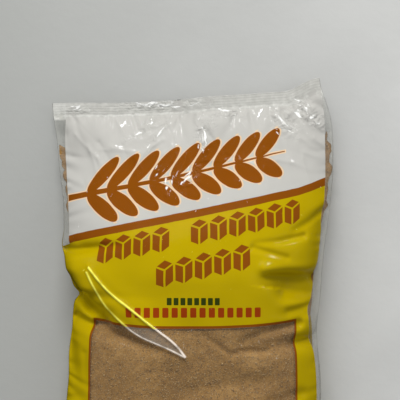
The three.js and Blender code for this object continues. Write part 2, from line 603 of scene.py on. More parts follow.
@dataclass(frozen=True)
class Puckers:
    """The small puckers that run in from a rim or a seal.

    Attributes:
        count: How many there are.
        reach: Shortest and longest length.
        depth: Shallowest and deepest.
        sway: How far they turn to either side, in radians.
        widen: How much wider each is at its end, as a share.
    """

    count: int
    reach: Point
    depth: Point
    sway: float
    widen: float

    def one(
        self, rng: np.random.Generator, start: Point, inward: Point, lean: float, spread: Point
    ) -> Crease:
        """Draws one pucker.

        Args:
            rng: Where its random values come from.
            start: The x and y that it starts at.
            inward: The direction away from the rim or seal.
            lean: What its turn is off that direction on average, in radians.
            spread: Least and most of half its width.

        Returns:
            The pucker.
        """
        reach, turn = rng.uniform(*self.reach), rng.uniform(-self.sway, self.sway) + lean
        cos, sin = math.cos(turn), math.sin(turn)
        end = (start[0] + reach * (inward[0] * cos + abs(inward[1]) * sin),
               start[1] + reach * (inward[1] * cos + abs(inward[0]) * sin))
        depth, width = rng.uniform(*self.depth), rng.uniform(*spread)
        return Crease((start, end), depth, width, 1.0, self.widen, 0.0, Profile.PUCKER)


@dataclass(frozen=True)
class Crumples:
    """The sharp short creases of the slack head.

    Attributes:
        count: How many there are.
        x: Where they begin across the pouch.
        y: Where they begin up it.
        turns: Directions that they mostly run in, in radians below the x axis.
        scatter: How much a direction varies.
        length: Shortest and longest.
        depth: Shallowest and deepest.
        ways: Signs of the depth, each as likely as the others.
        spread: Least and most of half their width.
        slack: Rows between which the film grows slack enough for them.
    """

    count: int = 52
    x: Point = (-72, 74)
    y: Point = (52, 104)
    turns: tuple[float, ...] = (-0.85, 0.8, 1.35, 0.25)
    scatter: float = 0.25
    length: Point = (9.0, 34.0)
    depth: Point = (0.4, 1.05)
    ways: tuple[float, ...] = (-1.0, -1.0, 1.0)
    spread: Point = (0.9, 1.8)
    slack: Point = (44.0, 74.0)

    def draw(self, rng: np.random.Generator) -> list[Crease]:
        """Draws them all.

        Args:
            rng: Where their random values come from.

        Returns:
            The creases.
        """
        made = []
        for _ in range(self.count):
            start = (rng.uniform(*self.x), rng.uniform(*self.y))
            turn = rng.choice(self.turns) + rng.normal(0, self.scatter)
            reach = rng.uniform(*self.length)
            end = (start[0] + reach * math.cos(turn), start[1] - reach * abs(math.sin(turn)))
            depth = rng.uniform(*self.depth) * rng.choice(self.ways)
            made.append(Crease((start, end), depth, rng.uniform(*self.spread), 0.8, 0.3, 0.0, Profile.CREST))
        return made


@dataclass(frozen=True)
class FilmCreases:
    """The creases of thin stiff film: the main ones, and the small ones that run in from rims and seals.

    Attributes:
        seed: Seed of the small creases.
        rims: The puckers along each side rim.
        seals: The pleats along each seal.
        spread: Least and most of half the width of either.
        seal_jitter: How far a pleat is off its even place across.
        seal_fan: How much the pleats fan out towards the corners, in radians.
        crumples: The sharp creases of the slack head.
        waviness: Height and noise of the film's broad waves.
        drift: How far the small creases are off their lines.
        bend: How far the ridges are off theirs.
        edge_reach: How far from the blister's ridges the finish still paints their highlight lines.
        seal_share: How much of all of this the flat seals lack.
        patch_apart: What sets the painted glint streaks and fine creases of one crumpled patch apart from the
            next.
        facet_height: Height of the facets in a crumpled patch.
    """

    seed: int = 11
    rims: Puckers = Puckers(26, (9.0, 30.0), (0.35, 1.0), 0.5, 1.2)
    seals: Puckers = Puckers(30, (12.0, 42.0), (0.3, 0.9), 0.45, 0.9)
    spread: Point = (1.3, 2.6)
    rim_jitter: float = 3.0
    seal_jitter: float = 0.025
    seal_fan: float = 0.35
    crumples: Crumples = Crumples()
    waviness: tuple[tuple[float, Noise], ...] = ((0.85, Noise(26, 7)), (0.3, Noise(11, 8)))
    drift: tuple[float, Noise, Noise] = (1.6, Noise(17, 5), Noise(19, 6))
    bend: tuple[float, Noise, Noise] = (2.2, Noise(8, 12), Noise(7, 13))
    valleys: tuple[Crease, ...] = VALLEYS
    swells: tuple[Crease, ...] = SWELLS
    ridges: tuple[Crease, ...] = RIDGES
    blister: tuple[Crease, ...] = BLISTER
    patches: tuple[Patch, ...] = PATCHES
    edge_reach: float = 2.0
    seal_share: float = 0.85
    patch_apart: float = 61.0
    facets: tuple[tuple[float, Noise], ...] = ((1.0, Noise(4.6, 15)), (0.5, Noise(2.3, 16)))
    facet_height: float = 1.0
    facet_mean: float = 0.4

    def small(self, form: PouchForm) -> list[Crease]:
        """Draws the puckers that run in from both side rims, and the pleats that run in from both seals.

        Args:
            form: The pouch's form.

        Returns:
            The creases.
        """
        def start(across: float, row: float) -> Point:
            """Returns the x and y of one place."""
            lay = Lay(form, np.array([across]), np.array([row]))
            return float(lay.x[0]), float(lay.y[0])

        made = []
        rng = np.random.default_rng(self.seed)
        for side in (-1.0, 1.0):
            for row in np.linspace(form.foot_seal_y + 6, form.head_seal_y - 2, self.rims.count):
                at = start(side * 0.995, row + rng.uniform(-self.rim_jitter, self.rim_jitter))
                made.append(self.rims.one(rng, at, (-side, 0.0), 0.0, self.spread))
        rng = np.random.default_rng(self.seed + 1)
        for row, way in ((form.foot_seal_y, 1.0), (form.head_seal_y, -1.0)):
            for place in np.linspace(-0.95, 0.95, self.seals.count):
                at = start(place + rng.uniform(-self.seal_jitter, self.seal_jitter), row)
                made.append(self.seals.one(rng, at, (0.0, way), -self.seal_fan * place, self.spread))
        return made

    @staticmethod
    def moved(x: Grid, y: Grid, by: tuple[float, Noise, Noise]) -> tuple[Grid, Grid]:
        """Returns x and y a little off their places, which takes the straightness out of creases."""
        return x + by[0] * by[1].at(x, y), y + by[0] * by[2].at(x, y)

    def relief(self, lay: Lay, fine: bool = True) -> Grid:
        """Works out how far the creases press the front film in.

        Args:
            lay: The grid of places.
            fine: Whether the ridges of film that stands off the sugar are in it.

        Returns:
            Depths in millimetres, below zero on ridges.
        """
        form, x, y, row = lay.form, lay.x, lay.y, lay.row
        drifted = self.moved(x, y, self.drift)
        total = pressed_in(self.small(form), *drifted) + pressed_in(self.valleys, x, y)
        for height, noise in self.waviness:
            total = total - height * noise.at(x, y)
        if fine:
            crumples = self.crumples.draw(np.random.default_rng(self.seed + 2))
            total = total + smoothstep(*self.crumples.slack, row) * pressed_in(crumples, *drifted)
            total = total + self.raised(x, y)
        in_seal = smoothstep(form.head_seal_y - 2, form.head_seal_y + 1, row)
        in_seal = in_seal + 1 - smoothstep(form.foot_seal_y - 1, form.foot_seal_y + 2, row)
        return total * (1 - self.seal_share * in_seal)

    def raised(self, x: Grid, y: Grid) -> Grid:
        """Works out the film that stands off the sugar: ridges, swells, the blister's lines and facets.

        Args:
            x: Coordinates across the pouch.
            y: Coordinates up it.

        Returns:
            Depths in millimetres, mostly below zero.
        """
        bent = self.moved(x, y, self.bend)
        ridges = np.minimum(0.0, np.min([part.at(*bent) for part in self.ridges], axis=0))
        ridges = ridges + pressed_in(self.swells, x, y)
        for line in self.blister:
            ridges = -np.hypot(ridges, line.at(x, y))
        facets = sum(share * np.abs(noise.at(*bent)) for share, noise in self.facets) - self.facet_mean
        crumpled = np.max([patch.at(x, y) for patch in self.patches], axis=0)
        return ridges + self.facet_height * crumpled * facets

    def edges(self, lay: Lay) -> tuple[Grid, Grid]:
        """Measures each place for the film's finish.

        Args:
            lay: The grid of places.

        Returns:
            Its distances from the blister's two ridges, along which the finish paints bright highlight lines,
            below zero on a line's right and FAR where it is far off or past the ends, and 1 on the blister.
            Then its place along and across the nearest crumpled patch, and how crumpled the film is there.
        """
        x, y = lay.x, lay.y
        upper, lower = (line.signed(x, y, self.edge_reach) for line in self.blister)
        blister = within(self.blister[0].points + self.blister[1].points[::-1], x, y)
        bent = self.moved(x, y, self.bend)
        shares = np.stack([patch.at(x, y) for patch in self.patches])
        turned = np.stack([np.stack(patch.turned(*bent)) for patch in self.patches])
        nearest = shares.argmax(axis=0)
        along, beside = np.take_along_axis(turned, nearest[None, None], axis=0)[0]
        return (np.stack([upper, lower, blister], axis=-1),
                np.stack([along + self.patch_apart * nearest, beside, shares.max(axis=0)], axis=-1))


@dataclass(frozen=True)
class Crimp:
    """The ribs that the hot jaws press into a seal."""

    pitch: float = 1.5
    height: float = 0.06
    soft: float = 0.6

    def at(self, form: PouchForm, row: Grid) -> Grid:
        """Works out the ribs.

        Args:
            form: The pouch's form.
            row: Rows up the pouch.

        Returns:
            Their height in millimetres, none outside the two seals.
        """
        head = smoothstep(form.head_seal_y, form.head_seal_y + self.soft, row)
        foot = 1 - smoothstep(form.foot_seal_y - self.soft, form.foot_seal_y, row)
        return self.height * np.sin(2 * np.pi * row / self.pitch) * (head + foot)


def placed(name: str, data: Any) -> bpy.types.Object:
    """Makes an object and puts it in the scene.

    Args:
        name: Its name.
        data: Its mesh, lamp or camera.

    Returns:
        The object.
    """
    made = bpy.data.objects.new(name, data)
    bpy.context.collection.objects.link(made)
    return made


@dataclass
class Pillow:
    """A closed mesh of a fine front and a back of half as many rows and columns, which share one rim."""

    name: str
    front: Grid
    back: Grid
    marks: dict[str, tuple[Grid, Grid]] = field(default_factory=dict)

    def build(self, shift: Vector) -> bpy.types.Object:
        """Makes the mesh and its object.

        Args:
            shift: What is added to each point, in millimetres, to reach the imported solid's frame.

        Returns:
            The object, at the origin.
        """
        rows, columns = self.front.shape[0] - 1, self.front.shape[1] - 1
        index = np.arange((rows + 1) * (columns + 1)).reshape(rows + 1, columns + 1)
        inner = self.back[2:-2:2, 2:-2:2]
        under = np.full_like(index, -1)
        under[0, :], under[-1, :], under[:, 0], under[:, -1] = index[0], index[-1], index[:, 0], index[:, -1]
        under[2:-2:2, 2:-2:2] = index.size + np.arange(inner[..., 0].size).reshape(inner.shape[:2])
        points = np.concatenate([self.front.reshape(-1, 3), inner.reshape(-1, 3)])
        faces = [
            (index[r, c], index[r, c + 1], index[r + 1, c + 1], index[r + 1, c])
            for r in range(rows)
            for c in range(columns)
        ]
        for r in range(0, rows, 2):
            for c in range(0, columns, 2):
                ring = (
                    (r, c), (r + 1, c), (r + 2, c), (r + 2, c + 1),
                    (r + 2, c + 2), (r + 1, c + 2), (r, c + 2), (r, c + 1),
                )
                faces.append(tuple(under[at] for at in ring if under[at] >= 0))
        mesh = bpy.data.meshes.new(self.name)
        at = (points + np.array(shift)) * MM
        mesh.from_pydata(at.tolist(), [], [tuple(int(i) for i in face) for face in faces])
        for title, (front, back) in self.marks.items():
            values = np.concatenate([front.reshape(-1, 3), back[2:-2:2, 2:-2:2].reshape(-1, 3)])
            layer = mesh.attributes.new(title, "FLOAT_VECTOR", "POINT")
            layer.data.foreach_set("vector", values.astype(np.float32).ravel())
        mesh.validate()
        mesh.shade_smooth()
        return placed(self.name, mesh)


class Sock:
    """A socket of a node tree, on which plain arithmetic adds Math nodes."""

    def __init__(self, book: "NodeBook", socket: bpy.types.NodeSocket) -> None:
        """Wraps a socket of the tree that book fills."""
        self.book = book
        self.socket = socket

    def math(self, operation: str, *others: "Sock | Number") -> "Sock":
        """Adds a Math node of this operation on this socket and the others."""
        return self.book.add("ShaderNodeMath", dict(enumerate((self, *others))), operation=operation)

    def __add__(self, other: "Sock | Number") -> "Sock":
        """Adds."""
        return self.math("ADD", other)

    __radd__ = __add__

    def __sub__(self, other: "Sock | Number") -> "Sock":
        """Subtracts other."""
        return self.math("SUBTRACT", other)

    def __rsub__(self, other: Number) -> "Sock":
        """Subtracts this from a plain number."""
        return self.book.add("ShaderNodeMath", {0: other, 1: self}, operation="SUBTRACT")

    def __mul__(self, other: "Sock | Number") -> "Sock":
        """Multiplies."""
        return self.math("MULTIPLY", other)

    __rmul__ = __mul__

    def __truediv__(self, other: "Sock | Number") -> "Sock":
        """Divides by other."""
        return self.math("DIVIDE", other)

    def __abs__(self) -> "Sock":
        """Takes away the sign."""
        return self.math("ABSOLUTE")

    def least(self, other: "Sock | Number") -> "Sock":
        """Returns the smaller of the two."""
        return self.math("MINIMUM", other)

    def most(self, other: "Sock | Number") -> "Sock":
        """Returns the larger of the two."""
        return self.math("MAXIMUM", other)

    def bell(self) -> "Sock":
        """Returns a bell curve, 1 at 0 and 1/e at 1."""
        return (-1 * self * self).math("EXPONENT")

    def past(self, edge: "Sock | Number", soft: float = 0.12) -> "Sock":
        """Returns 1 where this is past edge and 0 before it, with a soft step between."""
        return ((self - edge) / soft + 0.5).most(0.0).least(1.0)

    def between(self, low: "Sock | Number", high: "Sock | Number", soft: float = 0.12) -> "Sock":
        """Returns 1 where this is between low and high, and 0 elsewhere."""
        return self.past(low, soft) * (1 - self.past(high, soft))


class NodeBook:
    """Adds nodes to one tree."""

    def __init__(self, tree: bpy.types.NodeTree) -> None:
        """Takes the tree, which it fills."""
        self.tree = tree

    def add(
        self, kind: str, inputs: dict[str | int, Any] | None = None, output: str | int = 0, **settings: Any
    ) -> Sock:
        """Adds a node.

        Args:
            kind: Its bl_idname.
            inputs: Values or Socks for its sockets, by name or number.
            output: Which output is wanted.
            **settings: Its properties, which are set first.

        Returns:
            That output.
        """
        node = self.tree.nodes.new(kind)
        for name, value in settings.items():
            setattr(node, name, value)
        for name, value in (inputs or {}).items():
            if isinstance(value, Sock):
                self.tree.links.new(value.socket, node.inputs[name])
            else:
                node.inputs[name].default_value = value
        return Sock(self, node.outputs[output]) if node.outputs else Sock(self, node.inputs[0])

    def sibling(self, of: Sock, output: str | int) -> Sock:
        """Returns another output of the node that a Sock belongs to."""
        return Sock(self, of.socket.node.outputs[output])

    def split(self, vector: Sock) -> tuple[Sock, Sock, Sock]:
        """Returns the three parts of a vector."""
        first = self.add("ShaderNodeSeparateXYZ", {0: vector})
        return first, self.sibling(first, 1), self.sibling(first, 2)

    def attribute(self, title: str) -> Sock:
        """Returns a vector that the mesh carries at its points."""
        return self.add("ShaderNodeAttribute", output="Vector", attribute_name=title)

    def place(self) -> Sock:
        """Returns the place on the object, in metres."""
        return self.add("ShaderNodeTexCoord", output="Object")

    def noise(self, vector: Sock, scale: float, detail: float = 2.0, rough: float = 0.5) -> Sock:
        """Adds a Noise texture and returns its value."""
        inputs = {"Vector": vector, "Scale": scale, "Detail": detail, "Roughness": rough}
        return self.add("ShaderNodeTexNoise", inputs)

    def ramp(self, share: Sock, *stops: tuple[float, Colour]) -> Sock:
        """Turns a value into a colour.

        Args:
            share: The value.
            *stops: Pairs of a value and its colour, two at least.

        Returns:
            The colour.
        """
        made = self.add("ShaderNodeValToRGB", {0: share})
        elements = made.socket.node.color_ramp.elements
        while len(elements) < len(stops):
            elements.new(1.0)
        for element, (place, colour) in zip(elements, stops):
            element.position = place
            element.color = (*colour, 1.0)
        return made

    def blend(self, share: Sock | Number, base: Sock | Colour, top: Sock | Colour) -> Sock:
        """Mixes two colours.

        Args:
            share: How much of top shows.
            base: The colour below.
            top: The colour above.

        Returns:
            The mixed colour.
        """
        first, below, above = 0, 6, 7
        inputs = {first: share}
        for number, colour in ((below, base), (above, top)):
            inputs[number] = colour if isinstance(colour, Sock) else (*colour, 1.0)
        return self.add("ShaderNodeMix", inputs, 2, data_type="RGBA")

    def bump(self, height: Sock, strength: float, distance: float) -> Sock:
        """Returns the normal of a surface with this height."""
        return self.add("ShaderNodeBump", {"Strength": strength, "Distance": distance, "Height": height})

    def coat(self, colour: Sock, rough: Sock | Number, **more: Any) -> Sock:
        """Returns the shader of an opaque surface, with more inputs by name."""
        return self.add("ShaderNodeBsdfPrincipled", {"Base Color": colour, "Roughness": rough, **more})

    def mix(self, share: Sock, below: Sock, above: Sock) -> Sock:
        """Mixes two shaders, with this share of the one above."""
        return self.add("ShaderNodeMixShader", {0: share, 1: below, 2: above})


def srgb(red: int, green: int, blue: int) -> Colour:
    """Turns a display colour of 0 to 255 into the linear colour that a shader takes."""
    shares = [part / 255 for part in (red, green, blue)]
    return tuple(s / 12.92 if s <= 0.04045 else ((s + 0.055) / 1.055) ** 2.4 for s in shares)


class Finish(ABC):
    """A material. Each kind has a title, and says what its surface is."""

    title: str

    @abstractmethod
    def surface(self, book: NodeBook) -> Sock:
        """Adds the surface's nodes to a book and returns the shader."""

    def build(self) -> bpy.types.Material:
        """Makes the material.

        Returns:
            The material, with the surface's nodes in it.
        """
        made = bpy.data.materials.new(self.title)
        made.use_nodes = True
        made.node_tree.nodes.clear()
        book = NodeBook(made.node_tree)
        book.add("ShaderNodeOutputMaterial", {"Surface": self.surface(book)})
        return made


@dataclass(frozen=True)
class PrintLayout:
    """Where the print lies on the flat film, in millimetres.

    "u" runs across from the middle line, "v" up from the foot's cut edge, and "w" is v with the climb of the
    stripe taken off, so that what slants with the stripe has a constant w.
    """

    soft: float = 0.3
    slope: float = 0.21
    left: float = -75.5
    left_low: float = -92.0
    left_turn: float = 161.5
    right: float = 78.4
    right_low: float = 76.6
    right_turn: float = 98.0
    right_nick: float = 8.5
    right_nick_v: float = 121.0
    right_nick_spread: float = 19.0
    top: float = 248.0
    bottom: float = 10.0
    stripe: Point = (179.2, 183.9)
    window_left: float = -59.6
    window_right: float = 58.6
    window_top: float = 119.6
    window_sag: float = 2.6
    window_bottom: float = 44.0
    window_line: float = 1.5


@dataclass(frozen=True)
class BlockRow:
    """A row of plain blocks or cubes: its reach, the distance between two, and how each is drawn.

    Attributes:
        u: Where it begins and ends along.
        w: Where it begins and ends up.
        pitch: Distance from one block to the next.
        gap: Room between two.
        corner: Radius of a block's corners.
        slant: How far the side corners of a cube lie below its top.
        line: Width of the lines between a cube's faces.
    """

    u: Point
    w: Point
    pitch: float
    gap: float
    corner: float = 0.6
    slant: float = 2.7
    line: float = 1.15

    @property
    def half(self) -> float:
        """Half of a block's width."""
        return (self.pitch - self.gap) / 2

    @property
    def tall(self) -> float:
        """Half of its height."""
        return (self.w[1] - self.w[0]) / 2


@dataclass(frozen=True)
class Sprig:
    """A leafy sprig of cane along the slant: a stem with pairs of swept leaves that shorten to the right."""

    u: Point = (-66.0, 44.0)
    tip: float = 9.0
    leaves: int = 9
    stem_w: float = 208.0
    stem_half: float = 1.5
    sweep: float = 0.72
    slant: float = 0.8
    leaf_half: float = 4.3
    leaf_left: float = 22.0
    leaf_right: float = 14.5
    outline: float = 0.75

    @property
    def pitch(self) -> float:
        """Distance between two pairs of leaves."""
        return (self.u[1] - self.u[0]) / self.leaves


@dataclass(frozen=True)
class Inks:
    """Colours of the print and of the film's haze, and the painted glint colours that stand in for light
    caught by the creases.
    """

    white: Colour = srgb(191, 189, 183)
    cream: Colour = srgb(226, 196, 160)
    yellow: Colour = srgb(184, 159, 0)
    brown: Colour = srgb(134, 72, 12)
    green: Colour = srgb(52, 62, 16)
    red: Colour = srgb(150, 56, 10)
    haze: Colour = srgb(226, 225, 218)
    # painted highlights: glint colours painted over white print, yellow print and the clear window
    painted_glint: Colour = srgb(252, 252, 248)
    painted_yellow_glint: Colour = srgb(255, 250, 100)
    painted_clear_glint: Colour = srgb(255, 240, 224)
    cloud: Colour = (0.03, 0.025, 0.0)


@dataclass(frozen=True)
class Spot:
    """The place on the film that is shaded, as sockets.

    Attributes:
        book: The book that fills the tree.
        flat: The place on the flat film, as a vector.
        u: How far across it lies.
        v: How far up it lies.
        u_print: The same as u, with the waviness of the print.
        w: How far up it lies, with the climb of the stripe taken off.
        front: 1 on the front film and 0 on the back film.
    """

    book: NodeBook
    flat: Sock
    u: Sock
    v: Sock
    u_print: Sock
    w: Sock
    front: Sock


@dataclass(frozen=True)
class FilmFinish(Finish):
    """Clear glossy film with its print on the inside, and painted highlights on the blister's ridges and the
    crumpled patches.
    """

    title: str = "printed_film"
    layout: PrintLayout = PrintLayout()
    inks: Inks = Inks()
    sprig: Sprig = Sprig()
    upper: BlockRow = BlockRow((-55.0, 61.6), (162.6, 177.6), 10.6, 1.3)
    upper_gap: Point = (-12.6, -2.0)
    lower: BlockRow = BlockRow((-21.0, 32.0), (142.8, 157.8), 10.6, 1.3)
    green_row: BlockRow = BlockRow((-15.0, 15.0), (130.0, 134.0), 3.75, 1.1, 0.4)
    red_row: BlockRow = BlockRow((-38.0, 38.0), (123.2, 128.6), 5.07, 1.7, 0.6)
    cloud: float = 0.14
    ior: float = 1.45
    tint: Colour = (0.97, 0.97, 0.96)
    least_gloss: float = 0.04
    roughness: float = 0.05
    smooth_roughness: float = 0.07
    clear_roughness: float = 0.2
    window_haze: float = 0.03
    painted_blister_sheen: float = 0.1
    strip_haze: float = 0.11
    seal_haze: float = 0.6
    most_gloss: float = 0.4
    crinkle_scale: float = 0.26
    crinkle_height: float = 0.0013
    grain_height: float = 0.00001
    edge_spread: float = 0.68
    edge_height: float = 0.0003
    # painted highlights: how strongly the glint colour is painted along the blister's two ridges, and in
    # streaks over the crumpled patches
    painted_glint_from: float = 0.12
    painted_glint: float = 1.5
    low_line: float = 0.85
    streak_scale: tuple[float, float, float] = (0.17, 0.42, 0.0)
    painted_streak_spread: float = 0.2
    painted_streak_from: float = 0.72
    painted_streak: float = 11.0
    most_painted_streak: float = 0.9

    def blocks(self, along: Sock, up: Sock, row: BlockRow) -> Sock:
        """Draws a row of plain blocks with round corners.

        Args:
            along: The place along the row.
            up: The place up it.
            row: The row.

        Returns:
            Its mask, 1 inside the blocks.
        """
        cell, rise = self.cell(along, up, row)
        dx = (abs(cell) - row.half + row.corner).most(0.0)
        dy = (abs(rise) - row.tall + row.corner).most(0.0)
        distance = (dx * dx + dy * dy).math("SQRT")
        return (row.corner - distance).past(0.0) * along.between(*row.u)

    def cubes(self, along: Sock, up: Sock, row: BlockRow) -> Sock:
        """Draws a row of cubes, with their three faces apart.

        Args:
            along: The place along the row.
            up: The place up it.
            row: The row.

        Returns:
            Its mask, 1 inside the faces.
        """
        cell, rise = self.cell(along, up, row)
        drop = abs(cell) * (row.slant / row.half)
        middle = row.tall - 2 * row.slant
        inside = (row.half - abs(cell)).least(row.tall - drop - abs(rise))
        arms = abs(rise - middle - drop) - row.line / 2
        stem = (abs(cell) - row.line / 2).most(rise - middle)
        return inside.least(arms).least(stem).past(0.0) * along.between(*row.u)

    @staticmethod
    def cell(along: Sock, up: Sock, row: BlockRow) -> tuple[Sock, Sock]:
        """Returns the place from the middle of the nearest block, along the row and up it."""
        number = ((along - row.u[0]) / row.pitch).math("FLOOR")
        return along - row.u[0] - (number + 0.5) * row.pitch, up - (row.w[0] + row.w[1]) / 2

    def sprig_depth(self, u: Sock, w: Sock) -> Sock:
        """Draws the sprig.

        Args:
            u: The place across the film.
            w: The place up it, with the climb of the stripe taken off.

        Returns:
            How far inside the sprig the place is, in millimetres, below zero outside it.
        """
        leafy = self.sprig
        over = w - leafy.stem_w
        height = abs(over)
        root = u - height * leafy.sweep - leafy.u[0]
        cell = (root / leafy.pitch).math("FLOOR")
        share = (cell + 0.5) / leafy.leaves
        length = share * (leafy.leaf_right - leafy.leaf_left) + leafy.leaf_left
        along = height / length
        swell = (along * (1 - along) * 4).most(0.0)
        place = root - (cell + 0.5) * leafy.pitch
        leaf = swell.math("SQRT") * leafy.leaf_half - abs(place) * leafy.slant
        leaf = leaf.least((length - height) * 0.7).least(cell * 8 + 4).least((leafy.leaves - cell) * 8 - 4)
        taper = (leafy.u[1] + leafy.tip - u) / (leafy.u[1] - leafy.u[0])
        stem = taper * leafy.stem_half + 0.3 - height
        stem = stem.least(u - leafy.u[0] + leafy.tip).least(leafy.u[1] + leafy.tip - u)
        return leaf.most(stem)

    def spot(self, book: NodeBook) -> Spot:
        """Reads the place that is shaded.

        Args:
            book: The book that fills the tree.

        Returns:
            The place, with the slight waviness that film prints with.
        """
        flat = book.attribute("film")
        u, v, face = book.split(flat)
        ripple = book.noise(flat, 0.12, 1.0) - 0.5
        u_print = u + ripple * 0.5
        w = v - u_print * self.layout.slope + ripple * 0.7
        return Spot(book, flat, u, v, u_print, w, face.past(0.0, 0.05))

    def printed(self, spot: Spot) -> Sock:
        """Works out the field of the print.

        Args:
            spot: The place that is shaded.

        Returns:
            Its mask, 1 inside it, with the window in it.
        """
        lay, soft = self.layout, self.layout.soft
        left = lay.left_low + (lay.left - lay.left_low) * spot.v.past(lay.left_turn, 3.0).most(1 - spot.front)
        right = lay.right_low + (lay.right - lay.right_low) * spot.v.past(lay.right_turn, 20.0)
        right = right - lay.right_nick * ((spot.v - lay.right_nick_v) / lay.right_nick_spread).bell()
        across = spot.u.past(left, soft) * (1 - spot.u.past(right, soft))
        return across * spot.v.between(lay.bottom, lay.top, soft)

    def window(self, spot: Spot) -> tuple[Sock, Sock]:
        """Works out the clear window, whose top sags in its middle.

        Args:
            spot: The place that is shaded.

        Returns:
            The mask of its opening, and that of its opening and the line round it.
        """
        lay = self.layout
        sag = 1 - (spot.u / lay.window_right) * (spot.u / lay.window_right)
        depth = (spot.u - lay.window_left).least(lay.window_right - spot.u)
        depth = depth.least(lay.window_top - spot.v - sag * lay.window_sag).least(spot.v - lay.window_bottom)
        return depth.past(0.0) * spot.front, (depth + lay.window_line).past(0.0) * spot.front

    def ink(self, spot: Spot, frame_line: Sock) -> Sock:
        """Works out the colour of the print.

        Args:
            spot: The place that is shaded.
            frame_line: Mask of the window with the line round it.

        Returns:
            The colour.
        """
        lay, inks, front = self.layout, self.inks, spot.front
        upper = self.cubes(spot.u_print, spot.w, self.upper) * (1 - spot.u.between(*self.upper_gap))
        leaves = self.sprig_depth(spot.u_print, spot.w)
        colour = inks.yellow
        for mask, top in (
            (spot.w.past(lay.stripe[0]), inks.brown),
            (spot.w.past(lay.stripe[1]), inks.white),
            (upper.most(self.cubes(spot.u_print, spot.w, self.lower)) * front, inks.brown),
            (self.blocks(spot.u, spot.v, self.green_row) * front, inks.green),
            (self.blocks(spot.u, spot.v, self.red_row) * front, inks.red),
            (leaves.past(-self.sprig.outline) * front, inks.cream),
            (leaves.past(0.0) * front, inks.brown),
            (frame_line, inks.brown),
            (spot.book.noise(spot.flat, 0.05, 3.0) * self.cloud, inks.cloud),
        ):
            colour = spot.book.blend(mask, colour, top)
        return colour

    def painted_highlight(self, spot: Spot, lines: Sock, waves: Sock, crumpled: Sock) -> Sock:
        """Works out the painted highlights: glint colour painted along the blister's ridges and in streaks
        over the crumpled patches.

        Args:
            spot: The place that is shaded.
            lines: Strength of the highlight lines painted along the blister's ridges.
            waves: Waviness of the crumpled patches.
            crumpled: How crumpled the film is.

        Returns:
            The share of the painted glint colour, on the front film alone.
        """
        streaks = (waves + crumpled * self.painted_streak_spread - self.painted_streak_from) * self.painted_streak
        frayed = ((spot.book.noise(spot.flat, 0.22, 2.0) - 0.5) * 1.6 + 0.85).least(1.0)
        painted_glint = (lines - self.painted_glint_from) * self.painted_glint * frayed
        return painted_glint.most(streaks.least(self.most_painted_streak)).most(0.0).least(1.0) * spot.front

    def haze(self, spot: Spot, opening: Sock, blister: Sock) -> Sock:
        """Works out how milky the clear film is, with painted sheen where it stands off the sugar.

        Args:
            spot: The place that is shaded.
            opening: Mask of the window.
            blister: 1 where the film stands off the sugar, between the two bright lines.

        Returns:
            The share of haze.
        """
        hazy = self.window_haze + (self.strip_haze - self.window_haze) * (1 - opening)
        # painted sheen: the film between the blister's ridges is made milkier, for the lighter look of film
        # that stands off the sugar
        hazy = hazy + blister * self.painted_blister_sheen
        hazy = hazy.most(spot.v.past(self.layout.top - 2.0, 2.0) * self.seal_haze)
        return hazy * (spot.book.noise(spot.flat, 0.3, 3.0) * 0.8 + 0.6)

    def clear(self, book: NodeBook, normal: Sock) -> Sock:
        """Makes the shader of bare film, which mirrors more where it is seen at a slant.

        Args:
            book: The book that fills the tree.
            normal: The film's normal.

        Returns:
            The shader.
        """
        through = book.add("ShaderNodeBsdfTransparent", {"Color": (*self.tint, 1.0)})
        gloss = book.add("ShaderNodeBsdfGlossy",
                         {"Color": (1.0, 1.0, 1.0, 1.0), "Roughness": self.clear_roughness, "Normal": normal})
        facing = book.add("ShaderNodeLayerWeight", {"Blend": 0.5, "Normal": normal}, "Facing")
        mirrored = facing.math("POWER", 5.0) * (1 - self.least_gloss) + self.least_gloss
        return book.mix(mirrored.least(self.most_gloss), through, gloss)

    def surface(self, book: NodeBook) -> Sock:
        """Adds the nodes of bare film and inked film, and mixes the two, with painted highlights over both.

        Args:
            book: The book that fills the tree.

        Returns:
            The shader.
        """
        spot, inks = self.spot(book), self.inks
        opening, frame_line = self.window(spot)
        inked = self.printed(spot) * (1 - opening)
        lines, blister = self.edge(book)
        waves, crumpled = self.streaks(book)
        painted_highlight = self.painted_highlight(spot, lines, waves, crumpled)
        normal = self.crinkle(spot, waves, lines, crumpled * spot.front)
        stripe, white = self.layout.stripe
        # painted highlights: the glint colour is white above the stripe, yellow below it, and warm white over
        # the window
        painted_glint = book.blend(spot.w.past(stripe), inks.painted_yellow_glint, inks.painted_glint)
        painted_glint = book.blend(opening, painted_glint, inks.painted_clear_glint)
        colour = book.blend(1 - inked, self.ink(spot, frame_line), inks.haze)
        smooth = (1 - crumpled.least(1.0)) * (1 - spot.w.past(white, 8.0))
        rough = book.noise(spot.flat, 0.35, 3.0) * 0.1 + self.roughness + self.smooth_roughness * smooth
        coat = book.coat(book.blend(painted_highlight, colour, painted_glint), rough, IOR=self.ior, Normal=normal)
        # painted highlights also make the clear film opaque where they lie
        solid = inked.most(self.haze(spot, opening, blister)).most(painted_highlight * 0.92)
        return book.mix(solid, self.clear(book, normal), coat)

    def edge(self, book: NodeBook) -> tuple[Sock, Sock]:
        """Reads the blister's marks off the film.

        Args:
            book: Where the nodes are added.

        Returns:
            The strength of the highlight lines painted along its two ridges, from 0 to 1, and a mask that is
            1 between them.
        """
        upper, lower, blister = book.split(book.attribute("edges"))
        low_line = (lower / self.edge_spread).bell() * self.low_line
        return (upper / self.edge_spread).bell().most(low_line), blister

    def streaks(self, book: NodeBook) -> tuple[Sock, Sock]:
        """Reads the crumpled patches' marks off the film.

        Args:
            book: Where the nodes are added.

        Returns:
            Their waviness, drawn out along each patch, and how crumpled the film is.
        """
        place = book.attribute("streaks")
        drawn = book.add("ShaderNodeVectorMath", {0: place, 1: self.streak_scale}, operation="MULTIPLY")
        return book.noise(drawn, 1.0, 2.0, 0.6), book.split(place)[2]

